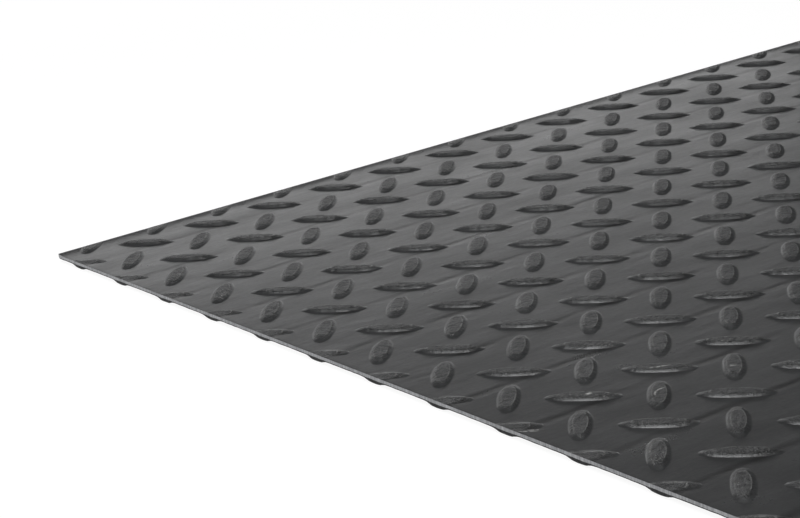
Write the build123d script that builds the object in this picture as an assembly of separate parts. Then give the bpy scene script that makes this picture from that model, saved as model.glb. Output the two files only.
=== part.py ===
from build123d import *
import math
import os

os.makedirs("parts", exist_ok=True)

# Plate, in mm
plate_length = 500.0
plate_width = 500.0
base_thickness = 2.0

# One raised tear, in mm, its oval outline rolled as a few flats
tear_length = 27.6
tear_width = 9.3
tear_height = 1.2
crest_length = 17.0
flank_run = 1.15
outline_flats = 10

# Tear pattern: pitch of like tears along each edge of the plate, in mm
pitch_length = 36.0
pitch_width = 41.0

# Strip along each sheared edge where the shear has pressed the tears down, in mm
pressed_strip = 5.0

tear_reach = tear_length / 2
plate_outline = Rectangle(plate_length, plate_width)


def lean_angle(run):
    """Angle from upright of a face that leans in by this run over a tear's height."""
    return math.degrees(math.atan2(run, tear_height))


def make_tear():
    """A long oval with a flat crest, steep flanks and a ramp down to each tip."""
    turns = [2 * math.pi * flat / outline_flats for flat in range(outline_flats)]
    corners = [(tear_reach * math.cos(turn), tear_width / 2 * math.sin(turn)) for turn in turns]
    outline = make_face(Polyline(*corners, close=True))
    tear = extrude(outline, amount=tear_height, taper=lean_angle(flank_run))
    ramp_run = tear_reach - crest_length / 2
    for end in (-1, 1):
        ramp = Plane(origin=(end * tear_reach, 0, 0), x_dir=(0, 1, 0), z_dir=(end * tear_height, 0, ramp_run))
        tear = split(tear, bisect_by=ramp, keep=Keep.BOTTOM)
    return tear


def tear_places():
    """Centre and angle of each tear: two crossed families, each tear pointing at its neighbours."""
    row_angle = math.degrees(math.atan2(pitch_width, pitch_length))
    columns = math.ceil(plate_length / pitch_length) + 1
    rows = math.ceil(plate_width / pitch_width) + 1
    places = []
    for column in range(columns):
        for row in range(rows):
            corner_x = column * pitch_length - plate_length / 2
            corner_y = plate_width / 2 - row * pitch_width
            places.append((corner_x + pitch_length / 2, corner_y, row_angle))
            places.append((corner_x, corner_y - pitch_width / 2, -row_angle))
    return places


def make_tears():
    """All tears on the sheet, with those at an edge sheared through and pressed down."""
    tear = make_tear()
    pressed = extrude(plate_outline, amount=tear_height, taper=lean_angle(pressed_strip))
    pressed = Pos(0, 0, base_thickness) * pressed
    tears = []
    for x, y, angle in tear_places():
        placed = Pos(x, y, base_thickness) * Rot(0, 0, angle) * tear
        edge_distance = min(plate_length / 2 - abs(x), plate_width / 2 - abs(y))
        if edge_distance > tear_reach + pressed_strip:
            tears.append(placed)
        elif edge_distance > -tear_reach:
            kept = placed & pressed
            if kept.volume > 0:
                tears.append(kept)
    return tears


checker_plate = extrude(plate_outline, amount=base_thickness) + make_tears()
export_step(checker_plate, "parts/checker_plate.step")
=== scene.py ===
"""Looks of a hot-rolled checker plate: raised tears, sheared edges, mill scale."""

import logging
import math
from dataclasses import dataclass, field
from enum import Enum
from typing import Any

import bmesh
import bpy
from mathutils import Matrix, Vector, noise


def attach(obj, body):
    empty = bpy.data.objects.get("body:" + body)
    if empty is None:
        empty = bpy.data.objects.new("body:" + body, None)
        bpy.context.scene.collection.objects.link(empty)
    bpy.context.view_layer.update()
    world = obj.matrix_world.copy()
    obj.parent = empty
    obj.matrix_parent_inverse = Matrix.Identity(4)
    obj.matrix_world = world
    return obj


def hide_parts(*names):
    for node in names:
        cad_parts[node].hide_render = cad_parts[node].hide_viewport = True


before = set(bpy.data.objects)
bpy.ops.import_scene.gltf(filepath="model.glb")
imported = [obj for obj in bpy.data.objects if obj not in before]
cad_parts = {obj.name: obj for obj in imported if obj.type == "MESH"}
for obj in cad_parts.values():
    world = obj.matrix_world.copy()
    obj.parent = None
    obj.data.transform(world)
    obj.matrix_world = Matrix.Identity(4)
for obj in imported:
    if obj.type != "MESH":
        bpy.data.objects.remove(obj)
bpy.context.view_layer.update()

LOG = logging.getLogger("checker_plate")
MM = 0.001


class Surface(Enum):
    """Which finish a face of the plate wears, as its material index."""

    MILL_SCALE = 0
    BURNISHED_CUT = 1
    TORN_CUT = 2


def srgb(hex_colour: str) -> tuple[float, float, float, float]:
    """Turns an sRGB hex colour to the linear values that Blender's sockets hold.

    Args:
        hex_colour: six hex digits, such as "5c5d60".

    Returns:
        Linear red, green and blue, and an alpha of 1.
    """
    channels = [int(hex_colour[i : i + 2], 16) / 255 for i in (0, 2, 4)]
    linear = [c / 12.92 if c <= 0.04045 else ((c + 0.055) / 1.055) ** 2.4 for c in channels]
    return (linear[0], linear[1], linear[2], 1.0)


def per_size(millimetres: float) -> float:
    """Gives the scale at which a pattern that reads metres repeats at a real size.

    Args:
        millimetres: the size of one grain, pit or score.

    Returns:
        The scale for a noise node that reads Object coordinates.
    """
    return 1000.0 / millimetres


def share_of(value: float, start: float, full: float) -> float:
    """Gives how far a value has come from a start to where it is full, kept between 0 and 1."""
    return min(max((value - start) / (full - start), 0.0), 1.0)


def add_node(
    tree: bpy.types.NodeTree,
    kind: str,
    settings: dict[str, Any] | None = None,
    links: dict[str | int, Any] | None = None,
) -> bpy.types.Node:
    """Adds one node with its settings and links.

    Args:
        tree: the material's node tree.
        kind: the node's type name.
        settings: the node's attributes and their values.
        links: for each input's name or index, a value, or an output to link from.

    Returns:
        The new node.
    """
    made = tree.nodes.new(kind)
    for name, value in (settings or {}).items():
        setattr(made, name, value)
    for name, source in (links or {}).items():
        if isinstance(source, bpy.types.NodeSocket):
            tree.links.new(source, made.inputs[name])
        else:
            made.inputs[name].default_value = source
    return made


@dataclass(frozen=True)
class Finish:
    """A finish of the plate: its name, base colours and gloss."""

    name: str
    dark: str
    middle: str
    light: str
    metallic: float
    roughness_low: float
    roughness_high: float

    def start(self) -> tuple[bpy.types.Material, bpy.types.NodeTree, bpy.types.Node, Any]:
        """Makes the empty material.

        Returns:
            The material, its tree, its Principled shader and the Object coordinate output.
        """
        material = bpy.data.materials.new(self.name)
        material.use_nodes = True
        tree = material.node_tree
        shader = tree.nodes["Principled BSDF"]
        shader.inputs["Metallic"].default_value = self.metallic
        place = add_node(tree, "ShaderNodeTexCoord").outputs["Object"]
        return material, tree, shader, place

    def mottled(self, tree: bpy.types.NodeTree, tone: Any, darkest: float, lightest: float) -> Any:
        """Colours the surface from dark to light by a pattern.

        Args:
            tree: the material's node tree.
            tone: the pattern's output.
            darkest: the tone that is dark.
            lightest: the tone that is light, with the middle colour at 0.5.

        Returns:
            The colour output.
        """
        made = add_node(tree, "ShaderNodeValToRGB", links={"Fac": tone})
        elements = made.color_ramp.elements
        elements.new(0.5)
        for element, position, colour in zip(
            elements, (darkest, 0.5, lightest), (self.dark, self.middle, self.light)
        ):
            element.position = position
            element.color = srgb(colour)
        return made.outputs["Color"]

    def gloss(self, tree: bpy.types.NodeTree, tone: Any) -> Any:
        """Makes the surface smoother where the pattern is light.

        Args:
            tree: the material's node tree.
            tone: the pattern's output.

        Returns:
            The roughness output.
        """
        made = add_node(
            tree,
            "ShaderNodeMapRange",
            links={
                "Value": tone,
                "From Min": 0.3,
                "From Max": 0.7,
                "To Min": self.roughness_high,
                "To Max": self.roughness_low,
            },
        )
        return made.outputs["Result"]


@dataclass(frozen=True)
class RollCrease:
    """The faint line that the roll leaves along each row, past the tips of the tears.

    Sizes are in mm, and the first line's place is along the plate's width.
    """

    pitch: float
    first: float
    width: float = 3.6
    sway: float = 3.0
    sway_length: float = 30.0

    def mask(self, tree: bpy.types.NodeTree, place: Any) -> Any:
        """Draws the lines as a mask.

        Args:
            tree: the material's node tree.
            place: the Object coordinate output.

        Returns:
            An output that is 1 on a line and 0 away from it.
        """
        wander = add_node(
            tree,
            "ShaderNodeTexNoise",
            links={"Vector": place, "Scale": per_size(self.sway_length), "Detail": 2.0},
        ).outputs["Fac"]
        across = add_node(tree, "ShaderNodeSeparateXYZ", links={"Vector": place}).outputs["Y"]
        swayed = add_node(
            tree,
            "ShaderNodeMath",
            {"operation": "MULTIPLY_ADD"},
            {0: wander, 1: self.sway * MM, 2: across},
        ).outputs["Value"]
        from_first = add_node(
            tree,
            "ShaderNodeMath",
            {"operation": "SUBTRACT"},
            {0: swayed, 1: (self.first + self.sway / 2) * MM},
        ).outputs["Value"]
        nearest = add_node(
            tree, "ShaderNodeMath", {"operation": "PINGPONG"}, {0: from_first, 1: self.pitch * MM / 2}
        ).outputs["Value"]
        line = add_node(
            tree,
            "ShaderNodeMapRange",
            {"interpolation_type": "SMOOTHSTEP"},
            {"Value": nearest, "From Min": 0.0, "From Max": self.width * MM, "To Min": 1.0, "To Max": 0.0},
        ).outputs["Result"]
        strength = add_node(
            tree,
            "ShaderNodeMapRange",
            links={"Value": wander, "From Min": 0.38, "From Max": 0.58, "To Min": 0.25, "To Max": 1.0},
        ).outputs["Result"]
        return add_node(
            tree, "ShaderNodeMath", {"operation": "MULTIPLY"}, {0: line, 1: strength}
        ).outputs["Value"]


@dataclass(frozen=True)
class BrightMark:
    """A scuff that has rubbed the scale off a crest: a short arc, or a spot where the radius is 0.

    Places and sizes are in mm on the plate. The mark fades from its middle out to its reach, and is full
    until its fading passes 1.
    """

    centre: tuple[float, float]
    radius: float
    half_width: float
    middle: tuple[float, float]
    reach: float
    level: float = 3.2
    fullness: float = 1.4

    def mask(self, tree: bpy.types.NodeTree, place: Any) -> Any:
        """Draws the mark as a mask.

        Args:
            tree: the material's node tree.
            place: the Object coordinate output.

        Returns:
            An output that is 1 on the mark and 0 away from it.
        """
        from_centre, from_middle = (
            add_node(
                tree,
                "ShaderNodeVectorMath",
                {"operation": "DISTANCE"},
                {0: place, 1: (x * MM, y * MM, self.level * MM)},
            ).outputs["Value"]
            for x, y in (self.centre, self.middle)
        )
        past_arc = add_node(
            tree, "ShaderNodeMath", {"operation": "SUBTRACT"}, {0: from_centre, 1: self.radius * MM}
        ).outputs["Value"]
        off_arc = add_node(tree, "ShaderNodeMath", {"operation": "ABSOLUTE"}, {0: past_arc}).outputs["Value"]
        on_arc, near_middle = (
            add_node(
                tree,
                "ShaderNodeMapRange",
                links={
                    "Value": distance,
                    "From Min": 0.0,
                    "From Max": far * MM,
                    "To Min": self.fullness,
                    "To Max": 0.0,
                },
            ).outputs["Result"]
            for distance, far in ((off_arc, self.half_width), (from_middle, self.reach))
        )
        return add_node(
            tree,
            "ShaderNodeMath",
            {"operation": "MULTIPLY", "use_clamp": True},
            {0: on_arc, 1: near_middle},
        ).outputs["Value"]


@dataclass(frozen=True)
class MillScaleSteel(Finish):
    """Hot-rolled steel with its mill scale left on. Sizes and depths are in mm.

    The scale is a dark oxide skin, not bare metal: dark from above, and with a broad sheen at low angles.
    The roll leaves the crests of the tears pitted, and sheets slid over them rub them bright in places. The
    bright band round each crest's rim is partly that wear and partly a painted highlight, strongest on the
    far sides.
    """

    name: str = "hot_rolled_steel_mill_scale"
    dark: str = "2f3031"
    middle: str = "393a3b"
    light: str = "444546"
    metallic: float = 0.2
    roughness_low: float = 0.26
    roughness_high: float = 0.35
    crest_roughness: float = 0.09
    # The bare metal colour, which also paints the highlight along the crests' far rims.
    bare_and_highlight: str = "bcbcba"
    pit_colour: str = "121213"
    # Painted shade: the colour is darkened along the roll's lines, besides the dent that the bump sinks
    # there.
    crease_painted_shade: str = "868686"
    crease_depth: float = 0.14
    patch_size: float = 70.0
    patch_stretch: float = 2.6
    patch_depth: float = 0.8
    pit_size: float = 3.6
    pit_depth: float = 1.6
    rubbed_patch_size: float = 28.0
    # The scale's grain and the specks rubbed into it are under 0.1 mm and wouldn't show in the render, so
    # both are drawn as coarse as they need to show.
    grain_size: float = 1.4
    grain_depth: float = 0.1
    grain_share: float = 0.3
    speck_size: float = 1.2

    def build(self, crease: RollCrease, marks: tuple[BrightMark, ...]) -> bpy.types.Material:
        """Makes the material.

        Args:
            crease: the faint lines that the roll leaves between rows of tears.
            marks: scuffs on single crests.

        Returns:
            The finished material.
        """
        material, tree, shader, place = self.start()
        along_roll = add_node(
            tree, "ShaderNodeMapping", links={"Vector": place, "Scale": (1.0, self.patch_stretch, 1.0)}
        ).outputs["Vector"]
        patches, grain, pits = (
            add_node(
                tree,
                "ShaderNodeTexNoise",
                links={"Vector": where, "Scale": per_size(size), "Detail": detail, "Roughness": roughness},
            ).outputs["Fac"]
            for where, size, detail, roughness in (
                (along_roll, self.patch_size, 6.0, 0.62),
                (place, self.grain_size, 3.0, 0.70),
                (place, self.pit_size, 4.0, 0.75),
            )
        )
        tone = add_node(tree, "ShaderNodeMix", links={0: self.grain_share, 2: patches, 3: grain}).outputs[0]
        crest = add_node(tree, "ShaderNodeAttribute", {"attribute_name": "worn"}).outputs["Fac"]
        line = crease.mask(tree, place)

        scuffed_and_lit = add_node(
            tree,
            "ShaderNodeMix",
            {"data_type": "RGBA"},
            {
                0: self.bare_and_highlight_share(tree, place, pits, crest, marks),
                6: self.scale_colour(tree, tone, line, pits, crest),
                7: srgb(self.bare_and_highlight),
            },
        )
        tree.links.new(scuffed_and_lit.outputs[2], shader.inputs["Base Color"])
        roughness = add_node(
            tree,
            "ShaderNodeMath",
            {"operation": "MULTIPLY_ADD"},
            {0: crest, 1: self.crest_roughness, 2: self.gloss(tree, tone)},
        )
        tree.links.new(roughness.outputs["Value"], shader.inputs["Roughness"])
        tree.links.new(self.relief(tree, patches, grain, pits, crest, line), shader.inputs["Normal"])
        return material

    def scale_colour(self, tree: bpy.types.NodeTree, tone: Any, line: Any, pits: Any, crest: Any) -> Any:
        """Colours the scale: mottled, with painted shade along the roll's lines, and darker in the crests'
        deep pits.

        Args:
            tree: the material's node tree.
            tone: the mottling.
            line: the roll's lines.
            pits: the pattern of the pits, low where they are deep.
            crest: the share of the crest.

        Returns:
            The colour output.
        """
        # Painted shade along the roll's lines: the colour is multiplied darker where the line mask is high.
        crease_shaded = add_node(
            tree,
            "ShaderNodeMix",
            {"data_type": "RGBA", "blend_type": "MULTIPLY"},
            {0: line, 6: self.mottled(tree, tone, 0.37, 0.64), 7: srgb(self.crease_painted_shade)},
        )
        # Darker in the crests' deep pits: the colour is mixed towards the pit colour where the pits are deep.
        deep = add_node(
            tree,
            "ShaderNodeMapRange",
            links={"Value": pits, "From Min": 0.52, "From Max": 0.36, "To Min": 0.0, "To Max": 0.75},
        )
        darker_pits = add_node(
            tree, "ShaderNodeMath", {"operation": "MULTIPLY"}, {0: deep.outputs["Result"], 1: crest}
        )
        return add_node(
            tree,
            "ShaderNodeMix",
            {"data_type": "RGBA"},
            {0: darker_pits.outputs["Value"], 6: crease_shaded.outputs[2], 7: srgb(self.pit_colour)},
        ).outputs[2]

    def bare_and_highlight_share(
        self, tree: bpy.types.NodeTree, place: Any, pits: Any, crest: Any, marks: tuple[BrightMark, ...]
    ) -> Any:
        """Draws where the steel shows light: specks rubbed on the crests, the rims, which are worn and also
        carry a painted highlight on their far sides, and single scuffs.

        Args:
            tree: the material's node tree.
            place: the Object coordinate output.
            pits: the pattern of the pits.
            crest: the share of the crest.
            marks: the scuffs.

        Returns:
            An output that is 1 where the steel is bare and where the rims carry the painted highlight.
        """
        specks, patches = (
            add_node(
                tree, "ShaderNodeTexNoise", links={"Vector": place, "Scale": per_size(size), "Detail": 1.0}
            ).outputs["Fac"]
            for size in (self.speck_size, self.rubbed_patch_size)
        )
        few_specks, few_patches, broken, rim_strength = (
            add_node(
                tree,
                "ShaderNodeMapRange",
                links={
                    "Value": pattern,
                    "From Min": start,
                    "From Max": full,
                    "To Min": least,
                    "To Max": most,
                },
            ).outputs["Result"]
            for pattern, start, full, least, most in (
                (specks, 0.62, 0.90, 0.0, 1.0),
                (patches, 0.58, 0.68, 0.0, 1.0),
                (specks, 0.36, 0.56, 0.05, 1.0),
                (pits, 0.38, 0.62, 0.06, 0.55),
            )
        )
        rubbed = crest
        for share in (few_specks, few_patches):
            rubbed = add_node(
                tree, "ShaderNodeMath", {"operation": "MULTIPLY"}, {0: rubbed, 1: share}
            ).outputs["Value"]
        # The rims' share: partly worn metal and partly painted highlight, brightest on the sides facing far.
        rim = add_node(tree, "ShaderNodeAttribute", {"attribute_name": "rim"}).outputs["Fac"]
        bare_and_lit_places = [(rim, rim_strength)] + [(mark.mask(tree, place), broken) for mark in marks]
        for where, share in bare_and_lit_places:
            worn = add_node(tree, "ShaderNodeMath", {"operation": "MULTIPLY"}, {0: where, 1: share})
            rubbed = add_node(
                tree, "ShaderNodeMath", {"operation": "MAXIMUM"}, {0: rubbed, 1: worn.outputs["Value"]}
            ).outputs["Value"]
        return rubbed

    def relief(
        self, tree: bpy.types.NodeTree, patches: Any, grain: Any, pits: Any, crest: Any, line: Any
    ) -> Any:
        """Raises the grain, the crests' pits, the sheet's slight waves, and sinks the roll's lines.

        The pits' height is taken about zero, so that the crest's share, which fades down the flanks,
        doesn't tilt them.

        Args:
            tree: the material's node tree.
            patches: the pattern of the waves.
            grain: the pattern of the grain.
            pits: the pattern of the pits.
            crest: the share of the crest.
            line: the roll's lines.

        Returns:
            The normal output.
        """
        about_zero = add_node(tree, "ShaderNodeMath", {"operation": "SUBTRACT"}, {0: pits, 1: 0.5})
        crest_pits = add_node(
            tree, "ShaderNodeMath", {"operation": "MULTIPLY"}, {0: about_zero.outputs["Value"], 1: crest}
        ).outputs["Value"]
        below = {}
        for height, strength, depth, sunk in (
            (grain, 0.2, self.grain_depth, False),
            (crest_pits, 0.9, self.pit_depth, False),
            (patches, 0.5, self.patch_depth, False),
            (line, 0.6, self.crease_depth, True),
        ):
            raised = add_node(
                tree,
                "ShaderNodeBump",
                {"invert": sunk},
                {"Strength": strength, "Distance": depth * MM, "Height": height} | below,
            )
            below = {"Normal": raised.outputs["Normal"]}
        return below["Normal"]


@dataclass(frozen=True)
class ShearedSteel(Finish):
    """The cut face of sheared steel: bright metal with fine upright scores where the blade slid past.

    Real scores are about 0.1 mm apart, too fine to show in the render, so they are drawn at 0.9 mm.
    """

    name: str = "sheared_steel_burnished"
    dark: str = "86878a"
    middle: str = "a3a4a6"
    light: str = "bcbdbf"
    metallic: float = 0.6
    roughness_low: float = 0.38
    roughness_high: float = 0.55
    score_width: float = 0.9
    score_stretch: float = 0.12
    score_depth: float = 0.2

    def build(self) -> bpy.types.Material:
        """Makes the material.

        Returns:
            The finished material.
        """
        material, tree, shader, place = self.start()
        upright = add_node(
            tree, "ShaderNodeMapping", links={"Vector": place, "Scale": (1.0, 1.0, self.score_stretch)}
        ).outputs["Vector"]
        scores = add_node(
            tree,
            "ShaderNodeTexNoise",
            links={"Vector": upright, "Scale": per_size(self.score_width), "Detail": 3.0, "Roughness": 0.65},
        ).outputs["Fac"]
        scored = add_node(
            tree,
            "ShaderNodeBump",
            links={"Strength": 0.5, "Distance": self.score_depth * MM, "Height": scores},
        )
        tree.links.new(self.mottled(tree, scores, 0.30, 0.70), shader.inputs["Base Color"])
        tree.links.new(self.gloss(tree, scores), shader.inputs["Roughness"])
        tree.links.new(scored.outputs["Normal"], shader.inputs["Normal"])
        return material


@dataclass(frozen=True)
class CrestLine:
    """A line round a tear's crest: how much longer and wider, and how far below its top, in mm."""

    longer: float
    wider: float
    side_drop: float
    tip_drop: float


@dataclass
class TearCell:
    """One tear and the sheet round it, out to the next tears.

    Sizes are in mm. The cell is a diamond whose sides bow out past the tear's tips and in at its flanks.
    A quarter lists the points of one quadrant of a line round the tear, from its tip to its middle, as
    shares of the half length and half width. The crest's ends are blunt and the foot's are rounded.
    """

    pitch_x: float = 36.0
    pitch_y: float = 41.0
    height: float = 1.2
    foot_length: float = 29.2
    foot_width: float = 9.5
    fillet_width: float = 0.5
    fillet_height: float = 0.10
    crest_length: float = 18.6
    crest_width: float = 5.7
    side_bow: float = 3.6
    points: int = 16
    crest_quarter: tuple[tuple[float, float], ...] = (
        (1.0, 0.0), (0.97, 0.45), (0.78, 0.72), (0.42, 0.93), (0.0, 1.0)
    )
    foot_quarter: tuple[tuple[float, float], ...] = (
        (1.0, 0.0), (0.93, 0.42), (0.58, 0.85), (0.28, 0.97), (0.0, 1.0)
    )
    crest_lines: tuple[CrestLine, ...] = (
        CrestLine(longer=-4.0, wider=-3.0, side_drop=0.0, tip_drop=0.0),
        CrestLine(longer=-1.2, wider=-1.3, side_drop=0.03, tip_drop=0.02),
        CrestLine(longer=0.0, wider=0.0, side_drop=0.13, tip_drop=0.12),
        CrestLine(longer=1.4, wider=0.6, side_drop=0.48, tip_drop=0.28),
    )
    # The lines where the surface turns sharply: the crest's rim, and both sides of the foot's fillet.
    sharp_lines: tuple[int, ...] = (2, 4, 5)

    @property
    def angle(self) -> float:
        """The tear's angle to the plate's length, in radians."""
        return math.atan2(self.pitch_y, self.pitch_x)

    def line_round(
        self, length: float, width: float, quarter: tuple[tuple[float, float], ...]
    ) -> list[Vector]:
        """Places the points of one closed line round the tear, from its tip anticlockwise.

        Args:
            length: the line's length, tip to tip.
            width: its width at the middle.
            quarter: its shape.

        Returns:
            The points, turned to the tear's angle.
        """
        first = [Vector((along * length / 2, across * width / 2, 0.0)) for along, across in quarter]
        upper = first + [Vector((-p.x, p.y, 0.0)) for p in reversed(first[:-1])]
        lower = [Vector((p.x, -p.y, 0.0)) for p in reversed(upper[1:-1])]
        turn = Matrix.Rotation(self.angle, 3, "Z")
        return [turn @ p for p in upper + lower]

    def border(self) -> list[Vector]:
        """Places as many points along the cell's four sides, from the tear's tip anticlockwise."""
        corners = [
            Vector((self.pitch_x / 2, 0.0, 0.0)),
            Vector((0.0, self.pitch_y / 2, 0.0)),
            Vector((-self.pitch_x / 2, 0.0, 0.0)),
            Vector((0.0, -self.pitch_y / 2, 0.0)),
        ]
        per_side = self.points // 4
        around = []
        for step in range(self.points):
            side, along = divmod(step + per_side // 2, per_side)
            start, end = corners[side % 4], corners[(side + 1) % 4]
            outward = (start + end).normalized() * (1 if side % 2 == 0 else -1)
            bow = self.side_bow * math.sin(math.pi * along / per_side)
            around.append(start.lerp(end, along / per_side) + outward * bow)
        return around

    def lines(self) -> list[tuple[list[Vector], float, float]]:
        """Lists the lines round the tear, from its crest out to the cell's border.

        Returns:
            For each line, its points, and its height at the sides and at the tips.
        """
        crest, foot = self.crest_quarter, self.foot_quarter
        around_crest = [
            (
                self.line_round(self.crest_length + line.longer, self.crest_width + line.wider, crest),
                self.height - line.side_drop,
                self.height - line.tip_drop,
            )
            for line in self.crest_lines
        ]
        fillet = 2 * self.fillet_width
        fillet_top = self.line_round(self.foot_length - fillet, self.foot_width - fillet, foot)
        return around_crest + [
            (fillet_top, self.fillet_height, self.fillet_height),
            (self.line_round(self.foot_length, self.foot_width, foot), 0.0, 0.0),
            (self.border(), 0.0, 0.0),
        ]

    def build(self) -> bpy.types.Mesh:
        """Makes the cell, line by line outwards from the crest.

        Returns:
            The cell's mesh, in metres, with the sheet's top at zero.
        """
        shape = bmesh.new()
        bmesh.ops.create_circle(shape, cap_ends=True, segments=self.points, radius=1.0)
        ring = sorted(shape.verts, key=lambda v: math.atan2(v.co.y, v.co.x) % math.tau)
        edges = list(shape.edges)
        for number, (places, side_lift, tip_lift) in enumerate(self.lines()):
            if number:
                grown = bmesh.ops.extrude_edge_only(shape, edges=edges)["geom"]
                fresh = {v for v in grown if isinstance(v, bmesh.types.BMVert)}
                ring = [next(e.other_vert(v) for e in v.link_edges if e.other_vert(v) in fresh) for v in ring]
                edges = [e for e in grown if isinstance(e, bmesh.types.BMEdge) and set(e.verts) <= fresh]
            reach = max(place.length for place in places)
            for vert, place in zip(ring, places):
                lift = side_lift + (tip_lift - side_lift) * (place.length / reach) ** 2
                vert.co = Vector((place.x, place.y, lift)) * MM
            if number in self.sharp_lines:
                for edge in edges:
                    edge.smooth = False
        mesh = bpy.data.meshes.new("tear_cell")
        shape.to_mesh(mesh)
        shape.free()
        return mesh


@dataclass(frozen=True)
class CrestWear:
    """How the roll and later handling leave the crests. Sizes are in mm.

    The pitted share starts and is full at a share of the tear's height. The rim is a narrow band at its own
    height, partly rubbed bare and partly a painted highlight, painted far less on the near sides than on the
    far ones. Broad lumps raise the crest.
    """

    pitted_from: float = 0.45
    pitted_full: float = 0.80
    rim_height: float = 1.075
    rim_band: float = 0.09
    # The rim's share on the near sides and on upright faces; the far sides take 1, as painted highlight.
    near_rim_share: float = 0.15
    upright_rim_share: float = 0.5
    lump_size: float = 5.0
    lump_height: float = 0.09
    lumps_from: float = 0.5

    def rim_brightness(self, normal: Vector) -> float:
        """Gives how brightly a crest's rim is painted: most on the sides facing far, as a painted highlight
        besides the wear.

        Args:
            normal: the rim's normal there.

        Returns:
            The share, from the near rim share on the near sides to 1 on the far ones.
        """
        outward = Vector((normal.x, normal.y))
        if outward.length < 0.01:
            return self.upright_rim_share
        far = Vector((math.sqrt(0.5), math.sqrt(0.5)))
        return (1.0 + self.near_rim_share) / 2 + (1.0 - self.near_rim_share) / 2 * outward.normalized().dot(far)

    def rim(self, lift: float, normal: Vector) -> float:
        """Gives the rim's share of a point at a height above the sheet, in mm: worn metal and painted
        highlight.
        """
        return max(0.0, 1.0 - abs(lift - self.rim_height) / self.rim_band) * self.rim_brightness(normal)


@dataclass(frozen=True)
class CutStep:
    """One line down the cut face, in mm, and the finish of the faces above it."""

    inset: float
    height: float
    push: float
    ragged: float
    surface: Surface


@dataclass
class ShearedEdge:
    """How the shear leaves an edge, from its top down. Sizes are in mm.

    The blade rolls the top over, slides past it to leave a bright band, then the rest tears off at a slant.
    Where a tear was cut, its metal is pushed down and hangs below the sheet.
    """

    rolled_over: float = 0.05
    roll_width: float = 0.6
    burnished_to: float = 1.30
    band_wander: float = 0.14
    torn_in: float = 0.30
    torn_wander: float = 0.10
    ragged_length: float = 3.5
    pushed_share: float = 0.98
    bulge_smoothing: int = 8
    pressed_strip: float = 10.0
    flat_strip: float = 0.4
    pressing_power: float = 1.8
    point_spacing: float = 1.3
    most_cuts: int = 12
    far_strip: float = 6.0
    turned_up: float = 0.60
    turned_strip: float = 7.0

    @property
    def scored_at(self) -> tuple[float, ...]:
        """The insets of the lines that hold the pressed strip and the rolled edge, down to the cut at 0."""
        return (self.pressed_strip, self.pressed_strip / 2, 2.4, self.roll_width, 0.35, 0.0)

    def steps(self, thickness: float) -> list[CutStep]:
        """Lists the face's steps down from the rolled top edge and in under the sheet.

        Args:
            thickness: of the sheet.

        Returns:
            The steps, each with its inset from the cut, its height, its share of the push-down and how far
            it wanders.
        """
        band_top = thickness - self.rolled_over - 0.12
        band_foot = thickness - self.burnished_to
        torn_foot = self.torn_in + 0.25
        bright, torn_and_shaded, scale = Surface.BURNISHED_CUT, Surface.TORN_CUT, Surface.MILL_SCALE
        return [
            CutStep(inset=0.0, height=band_top, push=0.0, ragged=0.0, surface=bright),
            CutStep(inset=0.0, height=band_foot, push=0.10, ragged=self.band_wander, surface=bright),
            CutStep(inset=0.08, height=band_foot - 0.14, push=0.25, ragged=self.torn_wander, surface=torn_and_shaded),
            CutStep(inset=self.torn_in, height=0.12, push=0.95, ragged=self.torn_wander, surface=torn_and_shaded),
            CutStep(inset=torn_foot, height=0.0, push=1.0, ragged=self.torn_wander, surface=torn_and_shaded),
            CutStep(inset=1.7, height=0.0, push=0.85, ragged=0.0, surface=scale),
            CutStep(inset=3.2, height=0.0, push=0.35, ragged=0.0, surface=scale),
            CutStep(inset=5.2, height=0.0, push=0.0, ragged=0.0, surface=scale),
        ]


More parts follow.
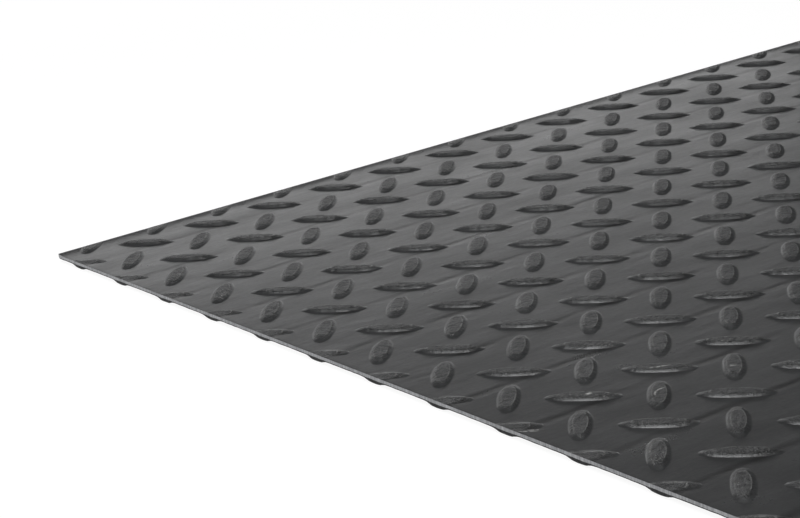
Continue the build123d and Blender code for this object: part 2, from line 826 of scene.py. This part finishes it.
@dataclass
class CheckerPlate:
    """The whole plate: the tear pattern, cut to size, with its sheared edges and flat underside.

    Sizes are in mm. The first of the roll's faint lines lies this share of a row in from the far edge.
    """

    length: float = 500.0
    width: float = 500.0
    thickness: float = 2.0
    first_crease: float = 0.69
    cell: TearCell = field(default_factory=TearCell)
    wear: CrestWear = field(default_factory=CrestWear)
    edge: ShearedEdge = field(default_factory=ShearedEdge)
    seed: int = 7

    @property
    def half(self) -> Vector:
        """Half the plate's length and width, in metres."""
        return Vector((self.length, self.width, 0.0)) * MM / 2

    def build(self) -> bpy.types.Object:
        """Makes the plate.

        Returns:
            The finished piece, with its place in its mesh.
        """
        shape = bmesh.new()
        self.lay_cells(shape)
        self.cut_to_size(shape)
        self.press_edges(shape)
        self.shear(shape)
        bmesh.ops.recalc_face_normals(shape, faces=shape.faces)
        for face in shape.faces:
            face.smooth = True
        mesh = bpy.data.meshes.new("checker_plate_rolled")
        shape.to_mesh(mesh)
        shape.free()
        plate = bpy.data.objects.new("checker_plate_rolled", mesh)
        bpy.context.scene.collection.objects.link(plate)
        return plate

    def lay_cells(self, shape: bmesh.types.BMesh) -> None:
        """Lays a cell at each tear's place, the second family mirrored, and welds them.

        Args:
            shape: the plate being made.
        """
        cell_mesh = self.cell.build()
        pitch_x, pitch_y = self.cell.pitch_x, self.cell.pitch_y
        families = ((Vector((pitch_x / 2, 0, 0)), False), (Vector((0, -pitch_y / 2, 0)), True))
        for column in range(math.ceil(self.length / pitch_x) + 1):
            for row in range(math.ceil(self.width / pitch_y) + 1):
                corner = Vector(
                    (column * pitch_x - self.length / 2, self.width / 2 - row * pitch_y, self.thickness)
                )
                for step, mirrored in families:
                    first = len(shape.verts)
                    shape.from_mesh(cell_mesh)
                    shape.verts.ensure_lookup_table()
                    fresh = shape.verts[first:]
                    if mirrored:
                        bmesh.ops.scale(shape, vec=(1.0, -1.0, 1.0), verts=fresh)
                    bmesh.ops.translate(shape, vec=(corner + step) * MM, verts=fresh)
        bpy.data.meshes.remove(cell_mesh)
        bmesh.ops.remove_doubles(shape, verts=shape.verts, dist=0.002 * MM)
        bmesh.ops.recalc_face_normals(shape, faces=shape.faces)

    def cut_to_size(self, shape: bmesh.types.BMesh) -> None:
        """Cuts the pattern along the plate's four edges, with a few lines beside each for the rolled edge.

        Args:
            shape: the plate being made.
        """
        for axis in (0, 1):
            for sign in (-1.0, 1.0):
                outward = Vector((0.0, 0.0, 0.0))
                outward[axis] = sign
                at_edge = outward * self.half[axis]
                for inset in self.edge.scored_at:
                    bmesh.ops.bisect_plane(
                        shape,
                        geom=shape.verts[:] + shape.edges[:] + shape.faces[:],
                        dist=0.001 * MM,
                        plane_co=at_edge - outward * inset * MM,
                        plane_no=outward,
                        clear_outer=inset == 0.0,
                    )

    def edge_distance(self, place: Vector) -> float:
        """Measures how far a point lies inside the nearest edge, in mm."""
        return min(self.half.x - abs(place.x), self.half.y - abs(place.y)) / MM

    def press_edges(self, shape: bmesh.types.BMesh) -> None:
        """Presses the tears down beside the edges, rolls the edges over, and roughens the crests.

        The heights as rolled, the pitted shares and the rims, worn and painted with a highlight, are kept on
        the points.

        Args:
            shape: the plate being made.
        """
        pushed = shape.verts.layers.float.new("pushed_down")
        worn = shape.verts.layers.float.new("worn")
        rim = shape.verts.layers.float.new("rim")
        top = self.thickness * MM
        height = self.cell.height * MM
        shape.normal_update()
        for vert in shape.verts:
            lift = vert.co.z - top
            vert[pushed] = lift
            vert[worn] = share_of(lift / height, self.wear.pitted_from, self.wear.pitted_full)
            vert[rim] = self.wear.rim(lift / MM, vert.normal)
            rolled = max(0.0, 1.0 - self.edge_distance(vert.co) / self.edge.roll_width) ** 2
            lift *= self.pressing(vert.co)
            if lift > self.wear.lumps_from * height:
                lump = noise.noise(vert.co * per_size(self.wear.lump_size) + Vector((self.seed, 0, 0)))
                lift += self.wear.lump_height * MM * lump
            from_far_edge = (self.half.y - vert.co.y) / MM
            turned = max(0.0, 1.0 - from_far_edge / self.edge.turned_strip) ** 2
            vert.co.z = top + lift - rolled * self.edge.rolled_over * MM + turned * self.edge.turned_up * MM

    def pressing(self, place: Vector) -> float:
        """Gives the share of a tear's height that is left at a point.

        The blade presses the tears flat beside the left and near edges. The far and right edges rest on the
        lower blade and keep more of them.

        Args:
            place: the point.

        Returns:
            The share, 1 away from the edges.
        """
        from_pressed = min(place.x + self.half.x, place.y + self.half.y) / MM
        from_kept = min(self.half.x - place.x, self.half.y - place.y) / MM
        share = share_of(from_pressed, self.edge.flat_strip, self.edge.pressed_strip)
        eased = share * share * (3 - 2 * share)
        return eased**self.edge.pressing_power * share_of(from_kept, 0.0, self.edge.far_strip)

    def inward(self, place: Vector) -> Vector:
        """Gives the direction into the plate from a point on its outline."""
        step = Vector((0.0, 0.0, 0.0))
        for axis in (0, 1):
            if abs(abs(place[axis]) - self.half[axis]) < 0.01 * MM:
                step[axis] = -math.copysign(1.0, place[axis])
        return step

    def divide_outline(self, shape: bmesh.types.BMesh) -> None:
        """Divides the outline's long edges, so that the bulges curve.

        Args:
            shape: the plate being made.
        """
        spacing = self.edge.point_spacing * MM
        for cuts in range(self.edge.most_cuts, 0, -1):
            long_edges = [
                e for e in shape.edges if e.is_boundary and math.ceil(e.calc_length() / spacing) - 1 == cuts
            ]
            if long_edges:
                bmesh.ops.subdivide_edges(shape, edges=long_edges, cuts=cuts, use_grid_fill=False)

    def bulge_drops(self, shape: bmesh.types.BMesh, outline: list[bmesh.types.BMVert]) -> dict[Any, float]:
        """Smooths the cut tears' heights along the outline, as the metal that the blade pushes down.

        Args:
            shape: the plate being made.
            outline: the points of its outline.

        Returns:
            For each point, how far it is pushed down, in metres.
        """
        pushed = shape.verts.layers.float["pushed_down"]
        drops = {v: v[pushed] for v in outline}
        beside = {v: [e.other_vert(v) for e in v.link_edges if e.is_boundary] for v in outline}
        for _ in range(self.edge.bulge_smoothing):
            drops = {v: 0.5 * drops[v] + 0.25 * sum(drops[other] for other in beside[v]) for v in outline}
        return drops

    def shear(self, shape: bmesh.types.BMesh) -> None:
        """Draws the cut faces down from the outline and closes the underside.

        Args:
            shape: the plate being made.
        """
        self.divide_outline(shape)
        edges = [e for e in shape.edges if e.is_boundary]
        for edge in edges:
            edge.smooth = False
        outline = {v: v for e in edges for v in e.verts}
        drops = self.bulge_drops(shape, list(outline))
        tops = {v: (v.co.copy(), drops[v] * self.edge.pushed_share, self.inward(v.co)) for v in outline}
        for step in self.edge.steps(self.thickness):
            grown = bmesh.ops.extrude_edge_only(shape, edges=edges)["geom"]
            fresh = {v for v in grown if isinstance(v, bmesh.types.BMVert)}
            below = {}
            for origin, last in outline.items():
                beside = (e.other_vert(last) for e in last.link_edges)
                below[origin] = next(v for v in beside if v in fresh)
            for face in (f for f in grown if isinstance(f, bmesh.types.BMFace)):
                face.material_index = step.surface.value
            for origin, vert in below.items():
                start, drop, into = tops[origin]
                ragged = noise.noise(start * per_size(self.edge.ragged_length) + Vector((0, 0, step.height)))
                vert.co = start + into * (step.inset * MM)
                vert.co.z = step.height * MM - step.push * drop + step.ragged * MM * ragged
            edges = [e for e in grown if isinstance(e, bmesh.types.BMEdge) and set(e.verts) <= fresh]
            outline = below
        bmesh.ops.contextual_create(shape, geom=edges, mat_nr=Surface.MILL_SCALE.value, use_smooth=False)

    def dress(self, plate: bpy.types.Object) -> None:
        """Puts the finishes on the plate, in the order of their material index.

        Args:
            plate: the finished piece.
        """
        pitch = self.cell.pitch_y
        crease = RollCrease(pitch=pitch, first=self.width / 2 - self.first_crease * pitch)
        plate.data.materials.append(MillScaleSteel().build(crease, self.scuffs()))
        plate.data.materials.append(ShearedSteel().build())
        # The torn face's near-black colour is partly the dull fracture zone and partly painted shade, kept
        # dark where the floor lights it from below.
        torn_and_shaded = ShearedSteel(
            name="sheared_steel_torn_painted_shade",
            dark="121213",
            middle="1c1c1d",
            light="2a2a2b",
            metallic=0.3,
            roughness_low=0.6,
            roughness_high=0.8,
        )
        plate.data.materials.append(torn_and_shaded.build())

    def scuffs(self) -> tuple[BrightMark, ...]:
        """Lists the bright scuffs: one curl, one graze and two spots on crests, and two grazes on a flank."""
        return (
            BrightMark((-193.1, -123.2), radius=6.4, half_width=0.5, middle=(-195.7, -117.4), reach=6.2),
            BrightMark((-161.4, -119.9), radius=0.0, half_width=1.5, middle=(-161.4, -119.9), reach=3.0),
            BrightMark((-149.3, -46.9), radius=60.0, half_width=0.5, middle=(-178.9, -99.1), reach=5.0),
            BrightMark((-212.4, -99.9), radius=0.0, half_width=1.5, middle=(-212.4, -99.9), reach=3.0),
            BrightMark(
                (-202.2, -68.9), radius=60.0, half_width=0.5, middle=(-247.2, -108.5), reach=4.6, level=2.1
            ),
            BrightMark(
                (-201.4, -68.2), radius=60.0, half_width=0.4, middle=(-244.9, -109.4), reach=3.6, level=2.1
            ),
        )


@dataclass(frozen=True)
class Softbox:
    """A soft rectangular lamp: its centre, the point it faces and its size in metres.

    Its brightness is that of its face, where 1 is white.
    """

    name: str
    place: tuple[float, float, float]
    aim: tuple[float, float, float]
    size: tuple[float, float]
    brightness: float

    def hang(self) -> bpy.types.Object:
        """Hangs the lamp.

        Returns:
            The lamp, which the camera doesn't see.
        """
        width, height = self.size
        light = bpy.data.lights.new(self.name, "AREA")
        light.shape = "RECTANGLE"
        light.size, light.size_y = width, height
        light.energy = self.brightness * math.pi * width * height
        lamp = bpy.data.objects.new(self.name, light)
        lamp.location = self.place
        lamp.rotation_mode = "QUATERNION"
        lamp.rotation_quaternion = (Vector(self.aim) - Vector(self.place)).to_track_quat("-Z", "Y")
        lamp.visible_camera = False
        bpy.context.scene.collection.objects.link(lamp)
        return lamp


@dataclass(frozen=True)
class WhitePaper:
    """Matt white paper under the plate. It glows where it is seen, so that it fades into a white page."""

    name: str = "white_paper"
    colour: str = "f4f4f4"
    roughness: float = 0.9
    glow: str = "ffffff"
    glow_strength: float = 1.1
    glow_share: float = 0.84

    def build(self) -> bpy.types.Material:
        """Makes the material.

        Returns:
            The finished material.
        """
        material = bpy.data.materials.new(self.name)
        material.use_nodes = True
        tree = material.node_tree
        paper = tree.nodes["Principled BSDF"]
        paper.inputs["Base Color"].default_value = srgb(self.colour)
        paper.inputs["Roughness"].default_value = self.roughness
        glow = add_node(
            tree, "ShaderNodeEmission", links={"Color": srgb(self.glow), "Strength": self.glow_strength}
        )
        path = add_node(tree, "ShaderNodeLightPath").outputs
        shown = path["Is Camera Ray"]
        for ray in ("Is Glossy Ray", "Is Transmission Ray"):
            shown = add_node(
                tree, "ShaderNodeMath", {"operation": "MAXIMUM"}, {0: shown, 1: path[ray]}
            ).outputs["Value"]
        share = add_node(tree, "ShaderNodeMath", {"operation": "MULTIPLY"}, {0: shown, 1: self.glow_share})
        seen = add_node(
            tree,
            "ShaderNodeMixShader",
            links={0: share.outputs["Value"], 1: paper.outputs["BSDF"], 2: glow.outputs["Emission"]},
        )
        tree.links.new(seen.outputs["Shader"], tree.nodes["Material Output"].inputs["Surface"])
        return material


@dataclass
class Studio:
    """The floor, the lamps, the grey surround and the camera. Lengths in metres, angles in degrees.

    The floor lies at the lowest point of the bulges that hang below the sheet.
    """

    floor_height: float = -1.21 * MM
    floor_half_size: float = 6.0
    surround: str = "626262"
    sensor_width: float = 36.0
    lens: float = 102.761
    nearest: float = 0.05
    farthest: float = 50.0
    camera_place: tuple[float, float, float] = (-0.67703, -0.71015, 0.29134)
    heading: float = 57.2795
    elevation: float = 16.7236
    roll: float = -7.0764
    lamps: tuple[Softbox, ...] = (
        Softbox("backdrop_softbox", (0.05, 1.10, 0.220), (-0.15, 0.0, 0.1), (1.75, 0.17), 1.5),
        Softbox("ceiling_softbox", (0.0, 0.0, 1.25), (0.0, 0.0, 0.0), (1.2, 1.2), 0.6),
        Softbox("top_softbox", (-0.25, 0.08, 1.0), (-0.25, 0.08, 0.0), (0.40, 0.40), 8.5),
    )

    def lay_floor(self) -> bpy.types.Object:
        """Lays the pale floor.

        Returns:
            The floor.
        """
        shape = bmesh.new()
        bmesh.ops.create_grid(shape, x_segments=1, y_segments=1, size=self.floor_half_size)
        bmesh.ops.translate(shape, vec=(0.0, 0.0, self.floor_height), verts=shape.verts)
        mesh = bpy.data.meshes.new("studio_floor")
        shape.to_mesh(mesh)
        shape.free()
        floor = bpy.data.objects.new("studio_floor", mesh)
        bpy.context.scene.collection.objects.link(floor)
        mesh.materials.append(WhitePaper().build())
        return floor

    def light_room(self) -> None:
        """Lights the plate with a low wide softbox behind it and two overhead, in a grey room."""
        for softbox in self.lamps:
            softbox.hang()
        world = bpy.data.worlds.new("studio_surround")
        bpy.context.scene.world = world
        world.use_nodes = True
        surround = world.node_tree.nodes["Background"]
        surround.inputs["Color"].default_value = srgb(self.surround)
        surround.inputs["Strength"].default_value = 1.0

    def place_camera(self) -> None:
        """Puts the camera where the photograph was taken from."""
        camera = bpy.data.cameras.new("photo_camera")
        camera.sensor_width = self.sensor_width
        camera.lens = self.lens
        camera.clip_start, camera.clip_end = self.nearest, self.farthest
        stand = bpy.data.objects.new("photo_camera", camera)
        heading, elevation = math.radians(self.heading), math.radians(self.elevation)
        level = math.cos(elevation)
        forward = Vector((math.cos(heading) * level, math.sin(heading) * level, -math.sin(elevation)))
        right = forward.cross(Vector((0, 0, 1))).normalized()
        up = right.cross(forward)
        turn = Matrix.Rotation(-math.radians(self.roll), 3, forward)
        right, up = turn @ right, turn @ up
        stand.matrix_world = Matrix((right, up, -forward)).transposed().to_4x4()
        stand.location = self.camera_place
        bpy.context.scene.collection.objects.link(stand)
        bpy.context.scene.camera = stand


def main() -> None:
    """Builds the plate and the studio, and reports each piece."""
    logging.basicConfig(level=logging.INFO, format="%(name)s: %(message)s")
    bpy.context.scene.view_settings.view_transform = "Standard"
    maker = CheckerPlate()
    plate = maker.build()
    maker.dress(plate)
    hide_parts("checker_plate")
    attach(plate, "root")
    LOG.info("plate: %d vertices, %d faces", len(plate.data.vertices), len(plate.data.polygons))
    studio = Studio()
    studio.lay_floor()
    studio.light_room()
    studio.place_camera()


if __name__ == "__main__":
    main()
